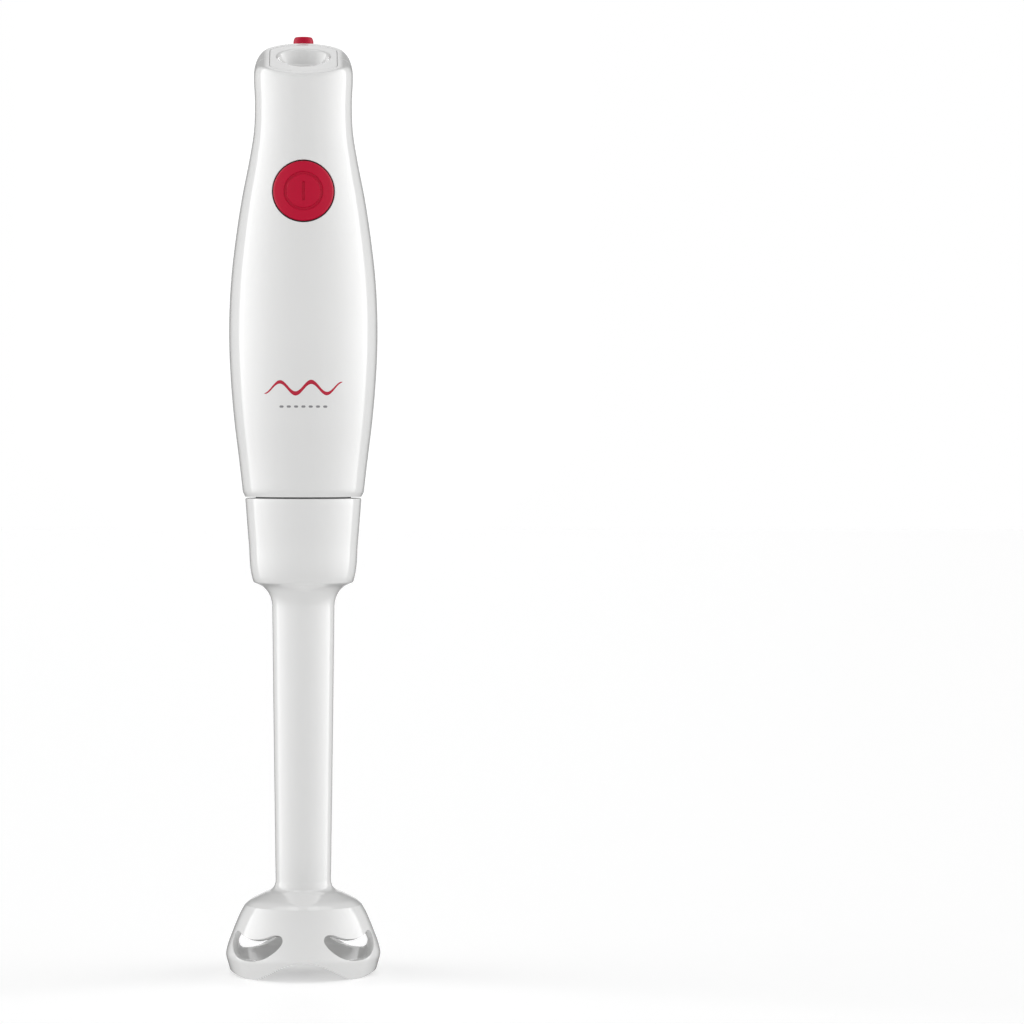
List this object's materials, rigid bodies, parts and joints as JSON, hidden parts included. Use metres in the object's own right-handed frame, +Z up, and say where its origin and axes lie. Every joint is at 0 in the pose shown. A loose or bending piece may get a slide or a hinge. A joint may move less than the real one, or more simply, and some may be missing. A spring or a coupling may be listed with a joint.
{
  "type": "immersion blender",
  "caption": "Slim hand blender: white tapered motor grip with a round crimson push switch, and a pull-off foot with a four-lobed, slotted blade guard.",
  "frame": {"origin": "on the floor under the blade, at the middle of the four lobes that the blender stands on", "axes": "+Z up along the shaft, -Y the front with the push switch, +X to the right seen from the front"},
  "size_m": [0.0626, 0.0626, 0.3816],
  "materials": {
    "white_gloss": "smooth glossy moulding",
    "crimson_plastic": "satin gloss moulding",
    "dark_rubber": "matt soft rubber",
    "black_plastic": "fine matt moulding",
    "grey_plastic": "satin moulding",
    "steel": "turned and ground",
    "lamination": "varnished steel stack",
    "copper": "enamelled copper wire",
    "brass": "drawn brass",
    "carbon": "pressed carbon"
  },
  "bodies": {
    "motor_unit": {"front_shell": "white_gloss", "rear_shell": "white_gloss", "top_cap": "white_gloss", "cord_gland": "crimson_plastic", "button_seal": "dark_rubber", "switch_body": "black_plastic", "button_spring": "steel", "cord_clamp": "grey_plastic", "clamp_screw_1": "steel", "clamp_screw_2": "steel", "shell_screw_1": "steel", "shell_screw_2": "steel", "shell_screw_3": "steel", "suppression_capacitor": "brass", "stator_core": "lamination", "field_coil_rear": "copper", "field_coil_front": "copper", "lower_bracket": "grey_plastic", "upper_bracket": "grey_plastic", "lower_bearing": "steel", "upper_bearing": "steel", "motor_bolt_1": "steel", "motor_bolt_2": "steel", "lower_motor_mount": "dark_rubber", "upper_motor_mount": "dark_rubber", "brush_holder_right": "brass", "carbon_brush_right": "carbon", "brush_spring_right": "steel", "brush_holder_left": "brass", "carbon_brush_left": "carbon", "brush_spring_left": "steel", "bayonet_ring": "grey_plastic"},
    "button": {"power_button": "crimson_plastic"},
    "plunger": {"switch_plunger": "grey_plastic"},
    "rotor": {"rotor_shaft": "steel", "armature_core": "lamination", "armature_winding": "copper", "commutator": "copper", "cooling_fan": "black_plastic", "drive_dog": "black_plastic"},
    "foot": {"foot_housing": "white_gloss", "bayonet_spigot": "grey_plastic", "upper_bush": "brass", "lower_bush": "brass", "shaft_seal": "dark_rubber"},
    "blade_shaft": {"drive_shaft": "steel", "retaining_clip": "steel", "shaft_dog": "black_plastic", "blade_hub": "white_gloss", "blade": "steel", "blade_nut": "steel"}
  },
  "joints": [
    {"name": "button_press", "type": "slide", "parent": "motor_unit", "child": "button", "axis": [0, 1, 0], "range_m": [0, 0.0022], "stiffness_N_per_m": 800, "springref_m": -0.0025, "deforming": ["button_spring"]},
    {"name": "plunger_press", "type": "slide", "parent": "motor_unit", "child": "plunger", "axis": [0, 1, 0], "range_m": [0, 0.0022]},
    {"name": "rotor_spin", "type": "hinge", "parent": "motor_unit", "child": "rotor", "pos_m": [0, 0, 0.25], "axis": [0, 0, 1], "continuous": true},
    {"name": "foot_release", "type": "slide", "parent": "foot", "child": "motor_unit", "axis": [0, 0, 1], "range_m": [0, 0.06]},
    {"name": "blade_spin", "type": "hinge", "parent": "foot", "child": "blade_shaft", "pos_m": [0, 0, 0.1], "axis": [0, 0, 1], "continuous": true}
  ],
  "couplings": [
    {"joint": "plunger_press", "follows": "button_press", "ratio": 1},
    {"joint": "blade_spin", "follows": "rotor_spin", "ratio": 1}
  ]
}
